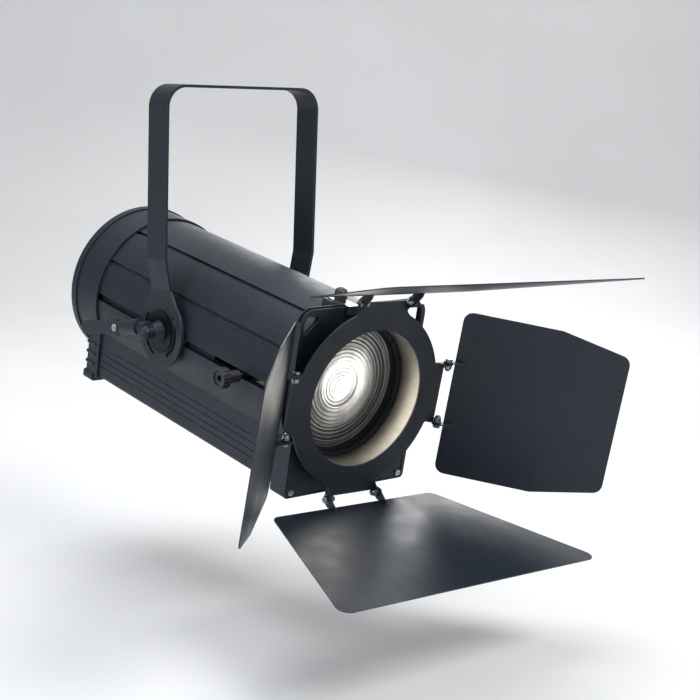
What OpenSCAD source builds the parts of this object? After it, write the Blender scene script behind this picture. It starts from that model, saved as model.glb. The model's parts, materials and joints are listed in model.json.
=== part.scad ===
// Stage spotlight with a fresnel lens, a hanging yoke and a turning four-leaf barn door.
// Row frame: origin at the hanger hole on top of the yoke bar, +Z up, -Y the way the light shines.
// Head modules are drawn with their origin on the tilt pivot and set in place by head().

/* [Yoke] */
// Height of the yoke bar's top face above the tilt pivot, mm
yoke_height = 270.5; // [262:285]
// Width of the yoke strip, mm
yoke_strip = 35; // [30:40]
// Thickness of the yoke strip, mm
yoke_sheet = 3.1; // [2.6:0.1:3.4]
// Radius of the discs at the ends of the yoke arms, mm
yoke_disc = 40.5; // [38:42]
// Radius of the hanger hole, mm
hanger_hole = 6.5; // [5:0.5:8]
// Nose-down angle of the head at rest, degrees
head_tilt = 9.6; // [0:0.1:20]

/* [Head] */
// Radius of the round part of the shell, mm
body_r = 91.5; // [90.5:0.1:92]
// Half-width of the lower box of the shell, mm
box_w = 81; // [79:82]
// Wall of the shell, mm
wall = 3; // [2.5:0.1:3.5]
// Radius of the rim of the rear cap, mm
cap_r = 96; // [95:97]

/* [Optics] */
// Radius of the lens, mm
lens_r = 76.4; // [76:0.1:76.5]
// Number of steps in the fresnel lens
lens_rings = 14; // [10:18]
// Radius of the light hole in the barn door ring, mm
hole_r = 75; // [72:75]

/* [Barn door] */
// Outer radius of the turning ring, mm
ring_r = 98.3; // [96:99]
// Turn of the ring about the optical axis at rest, degrees
ring_turn = 2; // [-5:5]
// Opening angle of the top leaf, degrees from flat outwards
top_leaf = 70; // [20:110]
// Opening angle of the bottom leaf, degrees from flat outwards
bottom_leaf = 88.7; // [20:110]
// Opening angle of the left leaf, degrees from flat outwards
left_leaf = 43.3; // [20:110]
// Opening angle of the right leaf, degrees from flat outwards
right_leaf = 49; // [20:110]
// Thickness of the leaves, mm
leaf_sheet = 1.2; // [1:0.1:1.5]

/* [Hidden] */
$fn = 64;
zA = -5.5;               // height of the optical axis below the pivot
box_z = -105;            // underside of the lower box
y_front = -210;          // front end of the shell
y_rear = 146;            // rear end of the shell
y_ring = -240.5;         // front face of the turning ring
chan_z = -2.4;           // height of the side channel
arm_x = 104;             // middle of each yoke arm
disc_x = 97;             // middle of each yoke disc
pin_out = 107;           // hinge pin distance from the optical axis
pin_y = y_ring - 5;      // hinge pin line in front of the ring
foc_y = -146;            // focus knob position
leaf_off = 7.8;          // leaf sheet's offset from its hinge pin
fan_z = 30;              // fan centre height
conn_z = -55;            // rear socket row height
menu_z = -28;            // display and button row height
box_rear = 163;          // rear face of the cap's lower box
fr_w = 84.5;             // half-width of the accessory frame
fr_t = 90;               // top of the accessory frame

function unit(v) = v / norm(v);
// rounded convex polygon: a cut-corner polygon with a circle tangent at each corner
function corner(a, b, c, r) = let(u = unit(a - b), w = unit(c - b), h = acos(u * w) / 2)
    [b + u * r / tan(h), b + w * r / tan(h), b + unit(u + w) * r / sin(h)];
module rounded(p, r) {
    n = len(p);
    k = [for (i = [0:n-1]) corner(p[(i + n - 1) % n], p[i], p[(i + 1) % n], r)];
    polygon([for (i = [0:n-1], j = [0, 1]) k[i][j]]);
    for (i = [0:n-1]) translate(k[i][2]) circle(r = r);
}
module rrect(x0, z0, x1, z1, r) rounded([[x0, z0], [x1, z0], [x1, z1], [x0, z1]], r);

module head() translate([0, 0, -yoke_height]) rotate([head_tilt, 0, 0]) children();
// flat shape in X,Z standing between two Y planes
module yplate(y0, y1) translate([0, y1, 0]) rotate([90, 0, 0]) linear_extrude(y1 - y0) children();
// flat shape in Y,Z standing between two X planes
module xplate(x0, x1) translate([x0, 0, 0]) rotate([90, 0, 90]) linear_extrude(x1 - x0) children();
module ycyl(r, y0, y1, x = 0, z = 0) translate([x, y1, z]) rotate([90, 0, 0]) cylinder(r = r, h = y1 - y0);
module xcyl(r, x0, x1, y = 0, z = 0) translate([x0, y, z]) rotate([0, 90, 0]) cylinder(r = r, h = x1 - x0);
module zcyl(r, z0, z1, x = 0, y = 0) translate([x, y, z0]) cylinder(r = r, h = z1 - z0);
module ytube(ro, ri, y0, y1) difference() { ycyl(ro, y0, y1, 0, zA); ycyl(ri, y0 - 1, y1 + 1, 0, zA); }
module hexa(r, h) cylinder(r = r, h = h, $fn = 6);
module both() { children(); mirror([1, 0, 0]) children(); }

// ---------------------------------------------------------------- yoke
yb = 25;                 // outer bend radius of the bar's corners
module yoke_strip_2d() {
    t = yoke_sheet; xo = arm_x + t / 2; xi = arm_x - t / 2; H = yoke_height;
    translate([-(xo - yb), H - t]) square([2 * (xo - yb), t]);
    for (s = [-1, 1]) scale_x(s) {
        intersection() {
            translate([xo - yb, H - yb]) difference() { circle(r = yb); circle(r = yb - t); }
            translate([xo - yb, H - yb]) square([yb, yb]);
        }
        translate([xi, 80]) square([t, H - yb - 80]);
        polygon([[xi, 80], [xo, 80], [disc_x + t / 2, 46], [disc_x - t / 2, 46]]);
        translate([disc_x - t / 2, 20]) square([t, 26]);
    }
}
module scale_x(s) { if (s > 0) children(); else mirror([1, 0]) children(); }
module arc_slot(r, w, a0, a1) {
    difference() {
        intersection() {
            circle(r = r + w / 2);
            polygon([[0, 0], for (i = [0:6]) 60 * [cos(a0 + (a1 - a0) * i / 6), sin(a0 + (a1 - a0) * i / 6)]]);
        }
        circle(r = r - w / 2);
    }
    for (a = [a0, a1]) translate(r * [cos(a), sin(a)]) circle(r = w / 2);
}
module yoke_disc_2d() {
    difference() {
        union() {
            circle(r = yoke_disc);
            polygon([[-yoke_strip / 2, 46], [-yoke_strip / 2, 56], [yoke_strip / 2, 56], [yoke_strip / 2, 46], [30, 26], [-30, 26]]);
        }
        circle(r = 5.05);
        // front slot (towards -Y) and rear slot
        mirror([1, 0]) arc_slot(28.5, 5, -62, 33);
        arc_slot(28.5, 5, -62, 33);
    }
}
module yoke() color([0.10, 0.12, 0.15]) {
    t = yoke_sheet;
    difference() {
        translate([0, yoke_strip / 2, -yoke_height]) rotate([90, 0, 0]) linear_extrude(yoke_strip) yoke_strip_2d();
        zcyl(hanger_hole, -10, 5);
        // keep the strip out of the disc's slots
        translate([-120, -30, -yoke_height + 10]) cube([240, 60, 26]);
    }
    for (s = [-1, 1]) translate([s * disc_x - t / 2, 0, -yoke_height]) xplate(0, t) yoke_disc_2d();
}
module pivot_bosses() color([0.55, 0.56, 0.58]) head() both() difference() {
    union() { xcyl(24, 78, 93.4); xcyl(27, 78, 81); }
    xcyl(5, 70, 100);
}
module friction_discs() color([0.30, 0.16, 0.10]) head() both() difference() { xcyl(23, 93.4, 95.1); xcyl(5, 90, 100); }
module tilt_studs() color([0.60, 0.60, 0.62]) head() both() {
    xcyl(5, 72, 112.5);
    // guide pin that runs in the yoke disc's rear slot
    rotate([-16.5, 0, 0]) xcyl(2.1, 87.5, 99.4, 28.5, 0);
}
module pivot_washers() color([0.16, 0.18, 0.21]) head() both() difference() { union() { xcyl(24, 98.9, 100.4); xcyl(15, 100.3, 101); } xcyl(5, 95, 102); }
module lever_hub() color([0.10, 0.12, 0.15]) head() mirror([1, 0, 0]) difference() {
    union() {
        translate([101.2, 0, 0]) rotate([0, 90, 0]) cylinder(r1 = 12, r2 = 8, h = 9);
        xcyl(8, 110.2, 118);
        translate([118.5, 0, 0]) sphere(r = 8.4);
        // root of the lever
        translate([117, 0, 5.5]) rotate([-90 - 17, 0, 0]) translate([0, 0, -2]) cylinder(r = 7.2, h = 22);
    }
    xcyl(5.05, 95, 113);
}
module lever_arm() color([0.10, 0.12, 0.15]) head() translate([-117, 0, 5.5]) rotate([-17, 0, 0]) difference() {
    union() {
        difference() { ycyl(9.6, 12, 53); ycyl(7.3, 11, 20.5); }
        // flattened eye
        xcyl(9.6, -4.3, 4.3, 53, 0);
    }
    xcyl(2.2, -10, 10, 53, 0);
    translate([-10.2, 43.5, -12]) cube([7, 30, 24]);
}
module lever_paddle() color([0.10, 0.12, 0.15]) head() translate([-117, 0, 5.5]) rotate([-17, 0, 0]) difference() {
    xplate(-6.6, -3.2) rounded([[44, -7.5], [124, -7.5], [124, 7.5], [44, 7.5]], 5);
    xcyl(2.2, -12, 12, 53, 0);
}
module lever_screw() color([0.60, 0.60, 0.62]) head() translate([-117, 0, 5.5]) rotate([-17, 0, 0]) difference() {
    union() { xcyl(2.2, -6.6, 4, 53, 0); xcyl(4.2, -9, -6.6, 53, 0); }
    translate([-9.6, 53, 0]) rotate([0, 90, 0]) hexa(2.2, 1.8);
}
module pivot_nuts() color([0.16, 0.18, 0.21]) head() {
    both() difference() {
        translate([73, 0, 0]) rotate([0, 90, 0]) hexa(9, 5);
        xcyl(5, 70, 80);
    }
    cap_nut();
}
module cap_nut() difference() {
    union() {
        translate([101, 0, 0]) rotate([0, 90, 0]) hexa(11, 8);
        xcyl(8.5, 108.9, 110.6);
        translate([110.6, 0, 0]) sphere(r = 8.1);
    }
    xcyl(5, 100, 112.6);
}

// ---------------------------------------------------------------- shell
module outline(g) {
    translate([0, zA]) circle(r = body_r - g, $fn = 96);
    rounded([[-(box_w - g), box_z + g], [box_w - g, box_z + g], [box_w - g, zA], [-(box_w - g), zA]], 5);
}
module grooves_2d() for (s = [-1, 1]) scale_x(s) {
    translate([0, zA]) {
        rotate(60) translate([body_r - 3, -2.6]) square([6, 5.2]);
        rotate(30) translate([body_r - 3, -1.9]) square([6, 3.8]);
        rotate(30) translate([body_r - 1.2, -5]) square([3, 1.2]);
    }
    translate([body_r - 6.5, chan_z - 4.25]) square([9, 8.5]);
    for (z = [-66, -74, -82, -90]) translate([box_w - 0.9, z]) square([3, 1.1]);
}
module shell() color([0.13, 0.15, 0.19]) head() difference() {
    yplate(y_front, y_rear) difference() {
        union() {
            difference() { outline(0); outline(wall); }
            intersection() {
                outline(0);
                for (s = [-1, 1]) scale_x(s) {
                    translate([0, zA]) for (a = [30, 60]) rotate(a) translate([body_r, 0]) circle(r = 8);
                    translate([body_r - 9.5, chan_z - 8]) square([10, 16]);
                }
            }
        }
        grooves_2d();
    }
    both() xcyl(24.1, 60, 100);
    both() rotate([-16.5, 0, 0]) xcyl(2.15, 80, 100, 28.5, 0);
    // way of the focus shaft
    translate([-100, foc_y - 22 - 6, chan_z - 4.25]) cube([40, 89, 8.5]);
}
module bezel() color([0.10, 0.12, 0.15]) head() difference() {
    union() {
        yplate(y_front - 3, y_front) outline(0);
        // lower box front, which stands out past the round part and reaches back over the shell
        difference() {
            yplate(-228, -204) rrect(-84, -111.3, 84, -48, 5);
            yplate(-226.2, -200) rrect(-81.3, -108.6, 81.3, -40, 4);
            ycyl(88, -240, -213, 0, zA);
            ycyl(body_r + 0.3, -213, -200, 0, zA);
        }
        for (s = [-1, 1]) ycyl(6, -226.2, y_front - 2, s * 75.2, -103.8);
    }
    ycyl(79.6, -240, -200, 0, zA);
    // sunk lower strip and screw holes
    translate([-80, -229, -110]) cube([160, 1.9, 31]);
    for (s = [-1, 1]) ycyl(2.1, -240, -200, s * 75.5, -105);
}
module bezel_screws() for (s = [-1, 1]) difference() {
    union() { ycyl(2.1, -227.1, -211, s * 75.5, -105); ycyl(3.4, -228.9, -227.1, s * 75.5, -105); }
    translate([s * 75.5, -228, -105]) rotate([90, 0, 0]) hexa(1.6, 3);
}
module deck() color([0.45, 0.46, 0.48]) head() difference() {
    translate([-77, -185, -64]) cube([154, 320, 1.5]);
    for (s = [-1, 1]) zcyl(8, -70, -60, s * 40, 110);
}

// ---------------------------------------------------------------- rear cap
module rear_cap() color([0.09, 0.11, 0.14]) head() difference() {
    union() {
        ycyl(94.3, 140, 184, 0, zA);
        ycyl(cap_r, 184, 193.2, 0, zA);
        yplate(140, box_rear) rrect(-box_w - 2.8, box_z - 3, box_w + 2.8, zA, 5);
        // ribs round the lower sides and the foot lip
        for (s = [-1, 1], z = [-66, -78, -90]) ycyl(2.4, 147, box_rear + 1.5, s * (box_w + 1.8), z);
        yplate(147, box_rear + 3) rrect(-box_w - 4.6, box_z - 6.5, box_w + 4.6, box_z + 4, 3);
    }
    yplate(139, 146.2) outline(-0.2);
    yplate(146.1, box_rear - 3) outline(1);
    ycyl(90.5, 146.1, 189.5, 0, zA);
    ycyl(41, 180, 200, 0, fan_z);
    translate([-54.4, 180, -68.6]) cube([108.8, 20, 47.2]);
    for (p = cap_holes) ycyl(1.7, 175, 200, p[0], p[1]);
    for (p = fan_holes) ycyl(1.7, 175, 200, p[0], p[1]);
    for (p = panel_holes) ycyl(1.6, 175, 200, p[0], p[1]);
    for (z = [-14, 26]) ycyl(2.1, 180, 200, 72, z);
    ycyl(6.1, 180, 200, -72, 12);
}
cap_holes = [[-62, 54], [66, 54], [-70, -44], [70, -44]];
fan_holes = [for (x = [-37, 37], z = [-37, 37]) [x, fan_z + z]];
panel_holes = [for (x = [-55, 55], z = [-74.4, -19.2]) [x, z]];
module cap_screws()
    for (p = cap_holes) difference() {
        union() { ycyl(1.7, 176, 193.2, p[0], p[1]); ycyl(3.3, 193.2, 195, p[0], p[1]); }
        translate([p[0], 195.5, p[1]]) rotate([90, 0, 0]) hexa(1.4, 1.6);
    }
module fan_screws()
    for (p = fan_holes) difference() {
        union() { ycyl(1.7, 172, 195.6, p[0], p[1]); ycyl(3.3, 195.6, 197.4, p[0], p[1]); }
        translate([p[0], 197.9, p[1]]) rotate([90, 0, 0]) hexa(1.4, 1.6);
    }
module rear_panel() color([0.13, 0.15, 0.19]) head() difference() {
    yplate(193.2, 195.2) rrect(-59, -78.4, 59, -15.6, 4);
    for (x = [-42, -14, 14, 42]) ycyl(12.2, 190, 200, x, conn_z);
    for (i = [0:3]) ycyl(4.4, 190, 200, 4 + i * 12.5, menu_z);
    translate([-50, 190, menu_z - 7]) cube([42, 10, 14]);
    for (p = panel_holes) ycyl(1.6, 190, 200, p[0], p[1]);
}
module panel_screws()
    for (p = panel_holes) difference() {
        union() { ycyl(1.6, 184, 195.2, p[0], p[1]); ycyl(2.8, 195.2, 196.8, p[0], p[1]); }
        translate([p[0], 197.2, p[1]]) rotate([90, 0, 0]) hexa(1.3, 1.4);
    }
module display_window() color([0.05, 0.07, 0.10, 0.6]) head() translate([-49.9, 193.3, menu_z - 6.9]) cube([41.8, 2.2, 13.8]);
module control_board() color([0.05, 0.30, 0.14]) head() {
    translate([-52, 182, menu_z - 8]) cube([104, 1.6, 16]);
    translate([-48, 183.6, menu_z - 6]) cube([38, 9, 12]);
    for (i = [0:3]) translate([1 + i * 12.5, 183.6, menu_z - 3]) cube([6, 4, 6]);
    for (x = [-40, -26, -12]) translate([x, 179, menu_z - 4]) cube([9, 3, 9]);
}
module menu_button(i) color([0.08, 0.08, 0.09]) head() {
    ycyl(4.1, 190.5, 197.4, 4 + i * 12.5, menu_z);
    ycyl(5.2, 189.6, 190.6, 4 + i * 12.5, menu_z);
}
module button_1() menu_button(0);
module button_2() menu_button(1);
module button_3() menu_button(2);
module button_4() menu_button(3);
module socket(x) {
    difference() {
        union() {
            yplate(195.2, 197.2) rrect(x - 13, conn_z - 15, x + 13, conn_z + 15, 3);
            ycyl(12, 170, 197.2, x, conn_z);
        }
        ycyl(9.5, 182, 199, x, conn_z);
        for (p = [[-10, 12], [10, -12]]) ycyl(1.6, 190, 199, x + p[0], conn_z + p[1]);
    }
}
module power_sockets() color([0.10, 0.22, 0.45]) head() for (x = [-42, -14]) { socket(x); ycyl(3.4, 181, 192, x, conn_z); }
module data_sockets() color([0.60, 0.60, 0.62]) head() for (x = [14, 42]) {
    socket(x);
    for (a = [30:60:270]) ycyl(0.9, 181, 192, x + 5.6 * cos(a), conn_z + 5.6 * sin(a));
}
module fuse_holder() color([0.08, 0.08, 0.09]) head() difference() {
    union() { ycyl(6, 170, 194, -72, 12); ycyl(7.6, 193.2, 200, -72, 12); }
    translate([-77, 198.5, 11.2]) cube([10, 3, 1.6]);
}
module safety_eye() color([0.60, 0.60, 0.62]) head() difference() {
    union() {
        yplate(193.2, 195.7) rrect(65, -20, 79, 32, 4);
        translate([72 - 1.5, 0, 0]) xplate(0, 3) { translate([207, 6]) circle(r = 11); translate([194, -2]) square([13, 16]); }
    }
    xcyl(6, 60, 85, 207, 6);
    for (z = [-14, 26]) ycyl(2.1, 190, 200, 72, z);
}
module eye_bolts() for (z = [-14, 26]) {
    ycyl(2.1, 180, 195.7, 72, z);
    translate([72, 198.7, z]) rotate([90, 0, 0]) hexa(4, 3);
}
// ---------------------------------------------------------------- fan
module fan_frame() color([0.08, 0.08, 0.09]) head() difference() {
    union() {
        difference() {
            yplate(164, 188.8) rrect(-43, fan_z - 43, 43, fan_z + 43, 5);
            ycyl(40.4, 160, 190, 0, fan_z);
        }
        ycyl(15, 164, 167, 0, fan_z);
        for (a = [45:90:315]) translate([0, 167, fan_z]) rotate([90, a, 0]) translate([12, -1.6, 0]) cube([30, 3.2, 3]);
        ycyl(2, 164, 180, 0, fan_z);
    }
    for (x = [-37, 37], z = [-37, 37]) ycyl(2, 160, 190, x, fan_z + z);
}
module fan_rotor() color([0.12, 0.12, 0.13]) head() difference() {
    union() {
        difference() { ycyl(17, 168, 186, 0, fan_z); ycyl(15.5, 165, 184, 0, fan_z); }
        ycyl(4, 170, 185, 0, fan_z);
        for (i = [0:6]) translate([0, 177, fan_z]) rotate([0, i * 360 / 7, 0]) translate([15.8, 0, 0]) rotate([38, 0, 0]) translate([0, -0.7, -9]) cube([23, 1.4, 18]);
    }
    ycyl(2.05, 160, 180.5, 0, fan_z);
}
module fan_grille() color([0.30, 0.31, 0.33]) head() difference() {
    union() {
    for (r = [9, 17, 25, 33, 41.5]) translate([0, 195.4, fan_z]) rotate([90, 0, 0]) rotate_extrude() translate([r, 0]) circle(r = 0.9, $fn = 16);
    for (a = [45, 135, 225, 315]) translate([0, 194.4, fan_z]) rotate([0, a, 0]) rotate([0, 90, 0]) translate([0, 0, 8]) cylinder(r = 1.1, h = 44);
    for (a = [45, 135, 225, 315]) ycyl(4, 193.2, 195.6, 52.3 * cos(a), fan_z + 52.3 * sin(a));
    }
    for (p = fan_holes) ycyl(1.7, 190, 200, p[0], p[1]);
}

// ---------------------------------------------------------------- inside the head
module bulkheads() color([0.45, 0.46, 0.48]) head() difference() {
    union() {
        ycyl(body_r - 9.8, 137, 140, 0, zA);
        ycyl(body_r - 9.8, -189, -186, 0, zA);
    }
    ycyl(48, 130, 150, 0, fan_z);
    ycyl(60, -195, -180, 0, zA);
    translate([-100, -200, -140]) cube([200, 400, 78]);
    for (s = [-1, 1]) ycyl(4, -195, 150, s * 56, -47);
}
module guide_rods() color([0.72, 0.72, 0.74]) head() for (s = [-1, 1]) ycyl(4, -189, 142, s * 56, -47);
module power_supply() color([0.55, 0.56, 0.58]) head() difference() {
    translate([-72, -60, -101.9]) cube([84, 150, 37]);
    for (i = [0:9]) translate([-74, -50 + i * 13, -97]) cube([4, 6, 26]);
}
module driver_board() color([0.05, 0.30, 0.14]) head() {
    translate([20, -50, -98]) cube([52, 130, 1.6]);
    for (y = [-40, -10, 20]) zcyl(7, -96.5, -74, 34, y);
    translate([48, -40, -96.5]) cube([16, 50, 18]);
    translate([26, 44, -96.5]) cube([40, 24, 9]);
    for (x = [24, 68], y = [-46, 76]) zcyl(2.5, -101.9, -98, x, y);
}
module carriage() color([0.45, 0.46, 0.48]) head() difference() {
    ycyl(79, foc_y - 4, foc_y + 2, 0, zA);
    translate([-100, foc_y - 20, -140]) cube([200, 40, 79]);
    for (s = [-1, 1]) ycyl(7.5, foc_y - 20, foc_y + 20, s * 56, -47);
    translate([-100, foc_y - 20, chan_z - 7]) cube([44, 40, 14]);
}
module bushings() color([0.70, 0.55, 0.25]) head() for (s = [-1, 1]) difference() {
    ycyl(7.5, foc_y - 10, foc_y + 10, s * 56, -47);
    ycyl(4.05, foc_y - 20, foc_y + 20, s * 56, -47);
}
module led_board() color([0.85, 0.85, 0.83]) head() difference() {
    ycyl(27, foc_y - 6, foc_y - 4, 0, zA);
    for (a = [45:90:315]) ycyl(1.6, foc_y - 8, foc_y, 22 * cos(a), zA + 22 * sin(a));
}
module led() color([1.0, 0.95, 0.80]) head() ycyl(13, foc_y - 7.4, foc_y - 6, 0, zA);
module collimator() color([0.80, 0.81, 0.83]) head() translate([0, foc_y - 6, zA]) rotate([90, 0, 0]) rotate_extrude()
    polygon([[16, 0], [18, 0], [34, 14], [36, 14], [36, 15.5], [33.2, 15.5]]);
module heatsink() color([0.35, 0.36, 0.38]) head() {
    ycyl(52, foc_y + 2, foc_y + 9, 0, zA);
    intersection() {
        ycyl(52, foc_y + 8, foc_y + 56, 0, zA);
        for (i = [-6:6]) translate([i * 7.6 - 1, foc_y + 8, -70]) cube([2, 48, 130]);
    }
}
module focus_shaft() color([0.25, 0.26, 0.28]) head() difference() {
    union() {
        xcyl(3.4, -114, -60, foc_y, chan_z);
        translate([-82, foc_y - 3.9, chan_z - 6.8]) cube([25.9, 5.8, 13.6]);
    }
}
module focus_knob() color([0.10, 0.11, 0.13]) head() difference() {
    union() {
        xcyl(6.6, -116, -99, foc_y, chan_z);
        xcyl(10.6, -124, -114, foc_y, chan_z);
        for (i = [0:17]) translate([-123, foc_y, chan_z]) rotate([i * 20, 0, 0]) translate([0, 10.5, 0]) rotate([0, 90, 0]) cylinder(r = 0.8, h = 8, $fn = 16);
    }
    xcyl(3.45, -126, -90, foc_y, chan_z);
    xcyl(8.4, -125, -122.6, foc_y, chan_z);
}

// ---------------------------------------------------------------- optics
module lens_cell() color([0.20, 0.21, 0.23]) head() {
    ytube(79.4, 76.8, -213.5, -190);
    ytube(83.5, 76.8, -214.2, -213);
    ytube(77, 71, -192, -190);
}
function sag(r) = 0.5 + r * r / 900;
module lens() color([0.80, 0.85, 0.88, 0.4]) head() translate([0, -192, zA]) rotate([90, 0, 0]) rotate_extrude() {
    w = 66 / lens_rings;
    polygon([[0, 0], [lens_r, 0], [lens_r, 3.4],
        for (i = [lens_rings-1:-1:0]) each [[(i + 1) * w, 3.2], [i * w + 0.3, 6.6]], [0, 6.8]]);
}
module lens_ring() color([0.08, 0.08, 0.09]) head() {
    ytube(76.6, 69, -202, -199.2);
    ytube(76.6, 72, -209, -201);
}
module front_tube() color([0.80, 0.79, 0.75]) head() ytube(76.6, 75.3, -238.6, -209);

// ---------------------------------------------------------------- accessory slot and frame
module frame_outline(g) {
    rrect(-fr_w + g, zA, fr_w - g, fr_t - g, 15 - g);
    intersection() {
        translate([0, zA]) circle(r = fr_w - g, $fn = 96);
        translate([-200, zA - 200]) square([400, 215]);
    }
    translate([-fr_w + g, zA - 1]) square([2 * (fr_w - g), 30]);
}
module holder() color([0.10, 0.12, 0.15]) head() difference() {
    union() {
        yplate(-219.6, -213) frame_outline(-1.6);
    }
    // pocket of the frame
    yplate(-218.4, -214.2) frame_outline(-0.3);
    ycyl(83.7, -216, -212, 0, zA);
    yplate(-221, -218.3) { frame_outline(3.2); translate([-60, 40]) square([120, 80]); }
    // open top, and corners through which the shell shows
    translate([-200, -218.4, fr_t - 12]) cube([400, 4.2, 40]);
    translate([-200, -225, fr_t - 4]) cube([400, 9, 40]);
    // notch for the latch plate
    translate([-27.6, -222, fr_t - 5]) cube([15.2, 20, 12]);
    yplate(-216, -210) for (s = [-1, 1]) scale_x(s) translate([0, zA]) rounded([[59, 87], [79.5, 87], [79.5, 67.5]], 3);
}
module accessory_frame() color([0.10, 0.12, 0.15]) head() yplate(-218, -216.2) difference() {
    frame_outline(0);
    translate([0, zA]) circle(r = 80.05, $fn = 96);
    for (s = [-1, 1]) scale_x(s) translate([0, zA]) rounded([[57, 88], [80.5, 88], [80.5, 66]], 3);
}
module ring_retainer() color([0.45, 0.46, 0.48]) head() ytube(83.3, 80, -215.8, -214.6);
module about_axis(a) translate([0, 0, zA]) rotate([0, a, 0]) translate([0, 0, -zA]) children();
module ring() color([0.11, 0.13, 0.16]) head() about_axis(ring_turn) {
    difference() {
        yplate(y_ring, y_ring + 1.5) translate([0, zA]) {
            circle(r = ring_r, $fn = 96);
            for (a = [0:90:270]) rotate(a) translate([0, -33.9]) square([106.3, 67.8]);
        }
        ycyl(hole_r, -260, -200, 0, zA);
    }
    ytube(80, 78.4, y_ring + 1.4, -214.6);
    // ears bent forward beside each tab's edge
    for (a = [0:90:270]) about_axis(a) for (s = [-1, 1]) translate([0, 0, zA]) difference() {
        translate([s * 33.15 - 0.75, 0, 0]) xplate(0, 1.5) {
            translate([pin_y, pin_out]) circle(r = 4.9);
            polygon([[y_ring + 0.4, 95], [y_ring + 0.4, pin_out + 1], [pin_y, pin_out + 4.9], [pin_y - 4.5, pin_out - 2]]);
        }
        xcyl(2.05, s * 33.15 - 4, s * 33.15 + 4, pin_y, pin_out);
    }
}

// ---------------------------------------------------------------- barn door leaves
// drawn flat outwards with the hinge pin on X, then turned forward by the opening angle
module on_ring(a, opening) head() about_axis(ring_turn + a) translate([0, pin_y, zA + pin_out]) rotate([opening, 0, 0]) children();
big = [[-112.2, 6.5], [112.2, 6.5], [180.2, 196.5], [-180.2, 196.5]];
small = [[-92.8, 6.5], [92.8, 6.5], [92.8, 113.3], [77.1, 189.9], [-77.1, 189.9], [-92.8, 113.3]];
module leaf(p) {
    translate([0, leaf_off + leaf_sheet / 2, 0]) rotate([90, 0, 0]) linear_extrude(leaf_sheet) rounded(p, 11);
    for (s = [-1, 1]) difference() {
        translate([s * 35.4 - 0.75, 0, 0]) xplate(0, 1.5) {
            circle(r = 5.6);
            polygon([[5.4, -1.5], [leaf_off, 3], [leaf_off, 18], [3.5, 15], [-4.5, 3.4]]);
        }
        xcyl(2, s * 35.4 - 3, s * 35.4 + 3, 0, 0);
    }
}
module hinge_bolts() for (s = [-1, 1]) scale_3(s) difference() {
    union() {
        xcyl(2, 28, 37);
        translate([36.7, 0, 0]) rotate([0, 90, 0]) hexa(3.9, 2.8);
        xcyl(4.5, 36.2, 36.8);
    }
    xcyl(1.2, 38.8, 41);
}
module hinge_nuts() for (s = [-1, 1]) scale_3(s) difference() {
    union() {
        xcyl(4.5, 31.5, 32.1);
        translate([28.6, 0, 0]) rotate([0, 90, 0]) hexa(4.1, 3);
        intersection() { translate([28.6, 0, 0]) sphere(r = 3.4); xcyl(4, 24, 28.7); }
    }
    xcyl(2, 27.9, 33);
}
module scale_3(s) { if (s > 0) children(); else mirror([1, 0, 0]) children(); }
module leaf_top() color([0.14, 0.17, 0.21]) on_ring(0, top_leaf) leaf(big);
module leaf_bottom() color([0.14, 0.17, 0.21]) on_ring(180, bottom_leaf) leaf(big);
module leaf_left() color([0.14, 0.17, 0.21]) on_ring(-90, left_leaf) leaf(small);
module leaf_right() color([0.14, 0.17, 0.21]) on_ring(90, right_leaf) leaf(small);
module fasteners() { hinge_bolts(); hinge_nuts(); }
module bolts_top() color([0.35, 0.36, 0.38]) on_ring(0, top_leaf) fasteners();
module bolts_bottom() color([0.35, 0.36, 0.38]) on_ring(180, bottom_leaf) fasteners();
module bolts_left() color([0.35, 0.36, 0.38]) on_ring(-90, left_leaf) fasteners();
module bolts_right() color([0.35, 0.36, 0.38]) on_ring(90, right_leaf) fasteners();

// ---------------------------------------------------------------- frame latch on top
module latch_base() color([0.10, 0.12, 0.15]) head() difference() {
    translate([-31, -209.5, 70]) cube([22, 25.5, 20.4]);
    ycyl(body_r, -230, -150, 0, zA);
    zcyl(3.05, 60, 100, -20, -199);
    // clear of the groove beside it
    translate([0, 0, zA]) rotate([0, 30 - 90 + 0, 0]) translate([body_r - 4, -230, -4]) cube([4.3, 80, 8]);
}
module latch_plate() color([0.62, 0.62, 0.64]) head() difference() {
    xplate(-27, -13) polygon([[-188, 90.4], [-220, 90.4], [-220, 82], [-221.2, 82], [-221.2, 91.6], [-188, 91.6]]);
    zcyl(3.05, 60, 110, -20, -199);
}
module latch_knob() color([0.14, 0.15, 0.17]) head() {
    zcyl(3, 86.8, 93, -20, -199);
    zcyl(6.4, 91.9, 101, -20, -199);
    intersection() { translate([-20, -199, 97]) sphere(r = 8); zcyl(6.4, 100.9, 106, -20, -199); }
    for (i = [0:15]) translate([-20, -199, 93]) rotate([0, 0, i * 22.5]) translate([6.3, 0, 0]) cylinder(r = 0.7, h = 7.4, $fn = 16);
}

module screws() color([0.60, 0.60, 0.62]) head() { bezel_screws(); cap_screws(); fan_screws(); panel_screws(); eye_bolts(); }

yoke();
pivot_bosses();
friction_discs();
tilt_studs();
pivot_washers();
pivot_nuts();
lever_hub();
lever_arm();
lever_paddle();
lever_screw();
shell();
bezel();
rear_cap();
screws();
rear_panel();
display_window();
control_board();
button_1();
button_2();
button_3();
button_4();
power_sockets();
data_sockets();
fuse_holder();
safety_eye();
fan_frame();
fan_rotor();
fan_grille();
deck();
bulkheads();
guide_rods();
power_supply();
driver_board();
carriage();
bushings();
led_board();
led();
collimator();
heatsink();
focus_shaft();
focus_knob();
lens_cell();
lens();
lens_ring();
front_tube();
holder();
accessory_frame();
ring_retainer();
ring();
leaf_top();
leaf_bottom();
leaf_left();
leaf_right();
bolts_top();
bolts_bottom();
bolts_left();
bolts_right();
latch_base();
latch_plate();
latch_knob();
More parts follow.
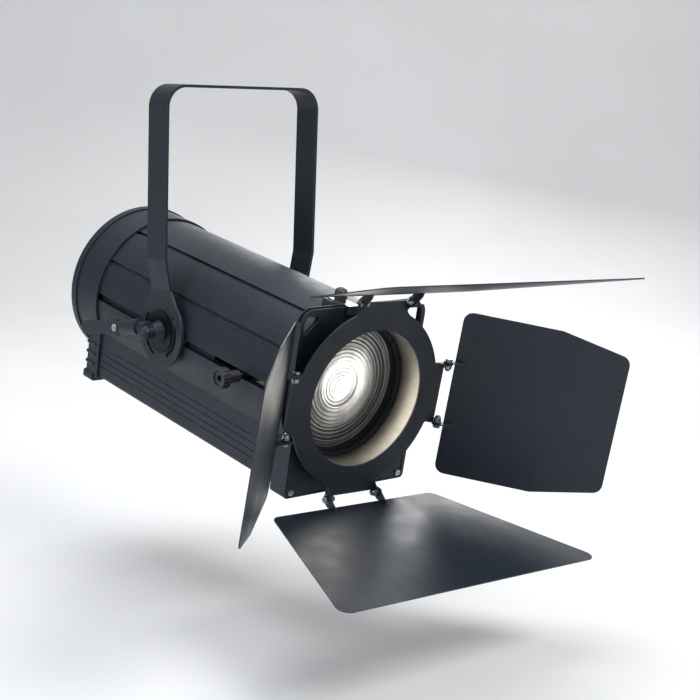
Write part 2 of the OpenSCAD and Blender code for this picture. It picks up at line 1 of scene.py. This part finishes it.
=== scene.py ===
import bpy, bmesh, json, math, random
from mathutils import Vector, Matrix


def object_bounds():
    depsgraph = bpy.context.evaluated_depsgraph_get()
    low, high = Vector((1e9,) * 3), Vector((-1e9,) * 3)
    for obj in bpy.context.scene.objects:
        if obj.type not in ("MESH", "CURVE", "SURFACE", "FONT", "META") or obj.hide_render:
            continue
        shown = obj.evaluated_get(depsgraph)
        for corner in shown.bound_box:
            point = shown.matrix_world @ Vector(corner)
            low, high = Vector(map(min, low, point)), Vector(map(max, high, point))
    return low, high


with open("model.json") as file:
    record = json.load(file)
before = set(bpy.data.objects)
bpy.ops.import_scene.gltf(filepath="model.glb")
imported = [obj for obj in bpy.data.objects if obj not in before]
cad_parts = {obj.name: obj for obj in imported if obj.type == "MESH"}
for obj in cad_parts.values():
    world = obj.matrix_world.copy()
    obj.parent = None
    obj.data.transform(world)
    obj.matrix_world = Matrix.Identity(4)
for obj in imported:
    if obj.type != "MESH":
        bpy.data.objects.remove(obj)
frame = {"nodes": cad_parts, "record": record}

N = frame["nodes"]
b0 = [[float(c) for c in v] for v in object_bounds()]

# ------------------------------------------------------------------ the head's own frame
TILT = math.radians(9.6)
PIVOT = Vector((0, 0, -0.2705))
HEAD = Matrix.Translation(PIVOT) @ Matrix.Rotation(TILT, 4, "X")
ZA = -0.0055

def mm(x, y, z):
    """a point given in the head's frame in mm, in the row frame in metres"""
    return HEAD @ Vector((x / 1000, y / 1000, z / 1000))

# ------------------------------------------------------------------ node material helpers
class Mat:
    def __init__(self, name):
        self.m = bpy.data.materials.new(name)
        self.m.use_nodes = True
        self.t = self.m.node_tree
        for n in list(self.t.nodes):
            self.t.nodes.remove(n)
        self.out = self.t.nodes.new("ShaderNodeOutputMaterial")
        self.bsdf = self.t.nodes.new("ShaderNodeBsdfPrincipled")
        self.t.links.new(self.bsdf.outputs[0], self.out.inputs[0])
        self.co = self.t.nodes.new("ShaderNodeTexCoord")
        self.bumps = None

    def n(self, kind, **kw):
        node = self.t.nodes.new("ShaderNode" + kind)
        for k, v in kw.items():
            setattr(node, k, v)
        return node

    def link(self, a, b):
        self.t.links.new(a, b)

    def set(self, **kw):
        names = {"metallic": "Metallic", "rough": "Roughness", "color": "Base Color", "coat": "Coat Weight", "coat_rough": "Coat Roughness",
                 "trans": "Transmission Weight", "ior": "IOR", "spec": "Specular IOR Level", "alpha": "Alpha", "aniso": "Anisotropic",
                 "emit": "Emission Color", "emit_s": "Emission Strength"}
        for k, v in kw.items():
            self.bsdf.inputs[names[k]].default_value = (*v, 1) if isinstance(v, tuple) and len(v) == 3 else v

    def noise(self, scale, detail=4, rough=0.5, vec=None, stretch=None):
        n = self.n("TexNoise")
        n.inputs["Scale"].default_value = scale
        n.inputs["Detail"].default_value = detail
        n.inputs["Roughness"].default_value = rough
        src = vec or self.co.outputs["Object"]
        if stretch:
            mp = self.n("Mapping")
            mp.inputs["Scale"].default_value = stretch
            self.link(src, mp.inputs["Vector"])
            src = mp.outputs[0]
        self.link(src, n.inputs["Vector"])
        return n.outputs["Fac"]

    def ramp(self, fac, stops, interp="LINEAR"):
        r = self.n("ValToRGB")
        r.color_ramp.interpolation = interp
        e = r.color_ramp.elements
        while len(e) < len(stops):
            e.new(0.5)
        for el, (p, c) in zip(e, stops):
            el.position = p
            el.color = (c, c, c, 1) if not isinstance(c, (tuple, list)) else (*c, 1)
        self.link(fac, r.inputs[0])
        return r.outputs[0]

    def mix(self, fac, a, b, blend="MIX"):
        m = self.n("Mix", data_type="RGBA", blend_type=blend)
        if isinstance(fac, (int, float)):
            m.inputs[0].default_value = fac
        else:
            self.link(fac, m.inputs[0])
        for sock, v in ((m.inputs[6], a), (m.inputs[7], b)):
            if isinstance(v, tuple):
                sock.default_value = (*v, 1)
            else:
                self.link(v, sock)
        return m.outputs[2]

    def math(self, op, a, b=None, clamp=False):
        m = self.n("Math", operation=op, use_clamp=clamp)
        for i, v in enumerate((a, b)):
            if v is None:
                continue
            if isinstance(v, (int, float)):
                m.inputs[i].default_value = v
            else:
                self.link(v, m.inputs[i])
        return m.outputs[0]

    def bump(self, height, strength, dist):
        b = self.n("Bump")
        b.inputs["Strength"].default_value = strength
        b.inputs["Distance"].default_value = dist
        self.link(height, b.inputs["Height"])
        if self.bumps:
            self.link(self.bumps, b.inputs["Normal"])
        self.bumps = b.outputs[0]
        self.link(self.bumps, self.bsdf.inputs["Normal"])

    def color(self, sock):
        self.link(sock, self.bsdf.inputs["Base Color"])

    def rough(self, sock):
        self.link(sock, self.bsdf.inputs["Roughness"])

    def edges(self, radius=0.0009):
        """mask of worn edges, where a rounded normal turns away from the surface's own, broken up by noise"""
        b = self.n("Bevel", samples=6)
        b.inputs["Radius"].default_value = radius
        g = self.n("NewGeometry")
        d = self.n("VectorMath", operation="DOT_PRODUCT")
        self.link(b.outputs[0], d.inputs[0])
        self.link(g.outputs["Normal"], d.inputs[1])
        p = self.ramp(self.math("SUBTRACT", 1.0, d.outputs["Value"], clamp=True), [(0.05, 0.0), (0.26, 1.0)])
        return self.math("MULTIPLY", p, self.ramp(self.noise(85, 6, 0.65), [(0.40, 0.0), (0.62, 1.0)]))

def coat(name, base, light, rough=(0.42, 0.58), grain=1400, wear=0.45):
    """fine-textured powder coat over metal: two tones of the colour, orange-peel and grain, handling marks and worn edges"""
    m = Mat(name)
    tone = m.noise(9, 5, 0.6)
    c = m.mix(m.ramp(tone, [(0.35, 0.0), (0.7, 1.0)]), base, light)
    speck = m.ramp(m.noise(grain * 0.6, 2, 0.5), [(0.55, 0.0), (0.75, 1.0)])
    c = m.mix(m.math("MULTIPLY", speck, 0.12), c, tuple(min(1, v * 2.0 + 0.006) for v in light))
    # faint dust that lies in patches
    dust = m.ramp(m.noise(26, 8, 0.7), [(0.52, 0.0), (0.8, 1.0)])
    c = m.mix(m.math("MULTIPLY", dust, 0.03), c, (0.16, 0.17, 0.19))
    # rubbed edges, where the coat has thinned
    e = m.edges()
    c = m.mix(m.math("MULTIPLY", e, wear), c, (0.15, 0.17, 0.20))
    m.color(c)
    r = m.ramp(m.noise(34, 6, 0.65), [(0.3, rough[0]), (0.75, rough[1])])
    m.rough(r)
    m.bump(m.noise(grain, 3, 0.55), 0.22, 0.00012)
    m.bump(m.noise(grain * 0.22, 2, 0.5), 0.10, 0.00025)
    m.set(metallic=0.0, spec=0.38)
    return m.m

def metal(name, base, dark, rough=(0.22, 0.42), stretch=None, scale=220, metallic=1.0, wear=0.4, tarnish=0.3):
    m = Mat(name)
    t = m.noise(14, 6, 0.6)
    c = m.mix(m.ramp(t, [(0.35, 0.0), (0.75, 1.0)]), base, dark)
    g = m.noise(scale, 5, 0.6, stretch=stretch)
    c = m.mix(m.math("MULTIPLY", m.ramp(g, [(0.4, 0.0), (0.7, 1.0)]), tarnish), c, tuple(v * 0.55 for v in dark))
    c = m.mix(m.math("MULTIPLY", m.edges(), wear), c, tuple(min(1, v * 1.3 + 0.05) for v in base))
    m.color(c)
    m.rough(m.ramp(g, [(0.3, rough[0]), (0.75, rough[1])]))
    m.bump(g, 0.12, 0.0001)
    m.bump(m.noise(40, 4), 0.05, 0.0003)
    m.set(metallic=metallic)
    return m.m

def plastic(name, base, light, rough=(0.35, 0.55), grain=900, wear=0.35):
    m = Mat(name)
    c = m.mix(m.ramp(m.noise(30, 5, 0.6), [(0.35, 0.0), (0.7, 1.0)]), base, light)
    c = m.mix(m.math("MULTIPLY", m.edges(), wear), c, tuple(min(1, v * 2 + 0.06) for v in light))
    m.color(c)
    m.rough(m.ramp(m.noise(60, 6, 0.6), [(0.3, rough[0]), (0.75, rough[1])]))
    m.bump(m.noise(grain, 3, 0.5), 0.15, 0.0001)
    return m.m

M = {
    "coat_dark": coat("coat_dark", (0.0092, 0.0142, 0.0228), (0.0104, 0.0160, 0.0256)),
    "coat_leaf": coat("coat_leaf", (0.0118, 0.0180, 0.0285), (0.0133, 0.0202, 0.0318), rough=(0.38, 0.52), grain=1700),
    "steel": metal("steel", (0.60, 0.61, 0.63), (0.46, 0.47, 0.48)),
    "black_steel": metal("black_steel", (0.034, 0.038, 0.045), (0.022, 0.025, 0.030), rough=(0.34, 0.50), wear=0.5),
    "bolt_steel": metal("bolt_steel", (0.260, 0.275, 0.300), (0.170, 0.182, 0.200), rough=(0.14, 0.26), wear=0.5),
    "bare_aluminium": metal("bare_aluminium", (0.62, 0.63, 0.65), (0.52, 0.53, 0.55), stretch=(1, 8, 1)),
    "fibre": plastic("fibre", (0.11, 0.06, 0.035), (0.17, 0.10, 0.06), rough=(0.7, 0.9)),
    "brass": metal("brass", (0.70, 0.52, 0.22), (0.50, 0.35, 0.14)),
    "plastic": plastic("plastic", (0.014, 0.015, 0.017), (0.024, 0.026, 0.029)),
    "blue_plastic": plastic("blue_plastic", (0.02, 0.06, 0.22), (0.03, 0.09, 0.30)),
    "circuit": plastic("circuit", (0.01, 0.11, 0.04), (0.015, 0.17, 0.06), rough=(0.25, 0.4)),
    "white_board": plastic("white_board", (0.70, 0.70, 0.67), (0.80, 0.80, 0.78)),
    "bright_metal": metal("bright_metal", (0.185, 0.175, 0.152), (0.150, 0.142, 0.124), rough=(0.30, 0.42), stretch=(1, 0.05, 1), scale=160, tarnish=0.08, wear=0.2),
    "sheet": metal("sheet", (0.42, 0.43, 0.45), (0.33, 0.34, 0.36)),
}

def window_mat():
    m = Mat("window")
    m.color(m.mix(m.ramp(m.noise(120, 6, 0.7), [(0.5, 0.0), (0.8, 1.0)]), (0.01, 0.016, 0.03), (0.03, 0.04, 0.06)))
    m.rough(m.ramp(m.noise(90, 5), [(0.3, 0.04), (0.7, 0.14)]))
    m.bump(m.noise(500, 2), 0.03, 0.0001)
    m.set(coat=0.6)
    return m.m

def lens_mat():
    """pressed glass with the lamp's light painted into it as emission: bright in the middle and dimming out to the
    rim, over a clear body
    """
    m = Mat("lens_glass")
    # painted light: the lamp's glow is painted on the glass as emission, round a hot spot set a little off the lens's
    # axis
    hot = m.n("VectorMath", operation="DISTANCE")
    m.link(m.co.outputs["Object"], hot.inputs[0])
    hot.inputs[1].default_value = mm(3, -199, 1)
    d = hot.outputs["Value"]
    rings = m.n("VectorMath", operation="DISTANCE")
    m.link(m.co.outputs["Object"], rings.inputs[0])
    rings.inputs[1].default_value = mm(0, -199, ZA * 1000)
    # painted light: one bright ring to each step of the glass, of uneven strength
    band = m.math("SINE", m.math("MULTIPLY", rings.outputs["Value"], 2 * math.pi / 0.0041))
    uneven = m.n("TexNoise", noise_dimensions="1D")
    m.link(m.math("MULTIPLY", rings.outputs["Value"], 1000.0), uneven.inputs["W"])
    uneven.inputs["Scale"].default_value = 0.55
    uneven.inputs["Detail"].default_value = 4
    uneven = m.ramp(uneven.outputs["Fac"], [(0.40, 0.12), (0.50, 0.55), (0.62, 1.0)])
    # painted streaks of the lamp's light round each step of the glass
    axis = m.n("VectorMath", operation="SUBTRACT")
    m.link(m.co.outputs["Object"], axis.inputs[0])
    axis.inputs[1].default_value = mm(0, -199, ZA * 1000)
    streak = m.ramp(m.noise(9, 5, 0.7, vec=axis.outputs[0], stretch=(6, 1, 1.2)), [(0.36, 0.0), (0.64, 1.0)])
    mottled = m.noise(70, 5, 0.6)
    dd = m.math("ADD", d, m.math("MULTIPLY", m.math("SUBTRACT", mottled, 0.5), 0.006))
    glow = m.ramp(m.math("MULTIPLY", dd, 12.5), [(0.0, 1.0), (0.26, 0.92), (0.38, 0.50), (0.50, 0.20), (0.70, 0.085), (0.88, 0.03), (1.0, 0.01)])
    glow = m.math("MULTIPLY", glow, m.math("ADD", m.math("MULTIPLY", band, 0.42), 0.62))
    glow = m.math("MULTIPLY", glow, m.math("ADD", m.math("MULTIPLY", streak, 0.55), 0.65))
    core = m.ramp(m.math("MULTIPLY", dd, 12.5), [(0.22, 1.0), (0.42, 0.0)])
    glow = m.math("MULTIPLY", glow, m.math("MAXIMUM", core, uneven))
    m.color(m.mix(m.ramp(mottled, [(0.3, 0.0), (0.7, 1.0)]), (0.045, 0.048, 0.050), (0.070, 0.073, 0.075)))
    m.rough(m.ramp(m.noise(300, 4), [(0.3, 0.05), (0.75, 0.16)]))
    m.bump(m.noise(400, 3), 0.06, 0.0002)
    m.link(m.mix(glow, (0.0, 0.0, 0.0), (1.0, 0.965, 0.92)), m.bsdf.inputs["Emission Color"])
    m.bsdf.inputs["Emission Strength"].default_value = 3.0
    m.set(trans=0.25, ior=1.5, coat=0.5, coat_rough=0.05)
    return m.m

def emitter_mat():
    m = Mat("emitter")
    cells = m.n("TexVoronoi")
    cells.inputs["Scale"].default_value = 420
    m.link(m.co.outputs["Object"], cells.inputs["Vector"])
    m.color(m.ramp(cells.outputs["Distance"], [(0.1, (1.0, 0.80, 0.30)), (0.6, (0.95, 0.70, 0.22))]))
    m.rough(m.ramp(m.noise(200, 3), [(0.3, 0.4), (0.7, 0.6)]))
    m.link(m.ramp(cells.outputs["Distance"], [(0.0, (1.0, 0.93, 0.80)), (0.8, (0.70, 0.65, 0.56))]), m.bsdf.inputs["Emission Color"])
    m.bsdf.inputs["Emission Strength"].default_value = 1.0
    m.bump(cells.outputs["Distance"], 0.2, 0.0003)
    return m.m

M["window"] = window_mat()
M["lens_glass"] = lens_mat()
M["emitter"] = emitter_mat()

for s in frame["record"]["subparts"]:
    o = N[s["node"]]
    o.data.materials.clear()
    # the hinge bolts and their cap nuts are brighter than the other dark fittings
    o.data.materials.append(M["bolt_steel" if s["node"].startswith("bolts_") else s["material_slot"]])
    # flats stay flat and turned faces smooth
    me = o.data
    me.polygons.foreach_set("use_smooth", [True] * len(me.polygons))
    try:
        me.set_sharp_from_angle(angle=math.radians(30))
    except Exception:
        pass

# ------------------------------------------------------------------ floor, light and camera
low = b0[0][2] if len(b0) == 2 else -0.45
def plain_floor():
    bm = bmesh.new()
    w, y0, y1, r, h = 18.0, -22.0, 3.2, 1.2, 4.5
    prof = [(y0, 0)] + [(y1 - r + r * math.sin(a * math.pi / 24), r - r * math.cos(a * math.pi / 24)) for a in range(13)] + [(y1, h)]
    rows = [[bm.verts.new((x, y, z)) for y, z in prof] for x in (-w, w)]
    for i in range(len(prof) - 1):
        bm.faces.new((rows[0][i], rows[1][i], rows[1][i + 1], rows[0][i + 1]))
    me = bpy.data.meshes.new("floor")
    bm.to_mesh(me)
    o = bpy.data.objects.new("floor", me)
    bpy.context.scene.collection.objects.link(o)
    for p in me.polygons:
        p.use_smooth = True
    o.location = (0, 0, low - 0.10)
    o.rotation_euler = (0, 0, math.radians(-41.6))
    m = Mat("floor")
    m.color(m.mix(m.ramp(m.noise(3, 4), [(0.3, 0.0), (0.7, 1.0)]), (0.70, 0.70, 0.70), (0.74, 0.74, 0.74)))
    m.rough(m.ramp(m.noise(12, 4), [(0.3, 0.75), (0.7, 0.9)]))
    me.materials.append(m.m)
    return o
floor = plain_floor()

def area(name, loc, target, size, power, color=(1, 1, 1)):
    l = bpy.data.lights.new(name, "AREA")
    l.shape = "RECTANGLE"
    l.size, l.size_y = size
    l.energy = power
    l.color = color
    o = bpy.data.objects.new(name, l)
    bpy.context.scene.collection.objects.link(o)
    o.location = loc
    o.rotation_euler = (Vector(target) - Vector(loc)).to_track_quat("-Z", "Y").to_euler()
    return o

mid = (0, -0.05, -0.25)
area("key", (0.5, -1.9, 1.5), mid, (1.4, 1.0), 42)
area("top", (-0.1, 0.3, 2.2), mid, (2.2, 1.6), 46, (0.96, 0.98, 1))
area("left", (-2.4, -0.3, 0.5), mid, (1.0, 1.6), 26, (0.94, 0.97, 1))
area("rim", (1.9, 1.3, 0.9), mid, (0.8, 1.4), 22)

beam = bpy.data.lights.new("beam", "AREA")
beam.shape = "DISK"
beam.size = 0.105
beam.energy = 0.15
beam.color = (1.0, 0.955, 0.89)
bo = bpy.data.objects.new("beam", beam)
bpy.context.scene.collection.objects.link(bo)
bo.location = mm(0, -206, ZA * 1000)
bo.rotation_euler = (mm(0, -300, ZA * 1000) - mm(0, -206, ZA * 1000)).to_track_quat("-Z", "Y").to_euler()
bo.visible_camera = False

w = bpy.data.worlds.new("world")
bpy.context.scene.world = w
w.use_nodes = True
bg = w.node_tree.nodes["Background"]
bg.inputs[0].default_value = (0.90, 0.93, 0.97, 1)
bg.inputs[1].default_value = 0.42

cam = bpy.data.cameras.new("camera")
cam.sensor_width = 36
cam.lens = 78.87
cam.clip_start = 0.05
co = bpy.data.objects.new("camera", cam)
bpy.context.scene.collection.objects.link(co)
right = Vector((0.75220, -0.65801, 0.03490)).normalized()
back = Vector((-0.65319, -0.73763, 0.17101)).normalized()
up = back.cross(right).normalized()
right = up.cross(back).normalized()
rot = Matrix((right, up, back)).transposed().to_4x4()
co.matrix_world = Matrix.Translation(PIVOT + Vector((-1.05262, -1.39572, 0.27743))) @ rot
bpy.context.scene.camera = co
bpy.context.scene.view_settings.view_transform = "Standard"
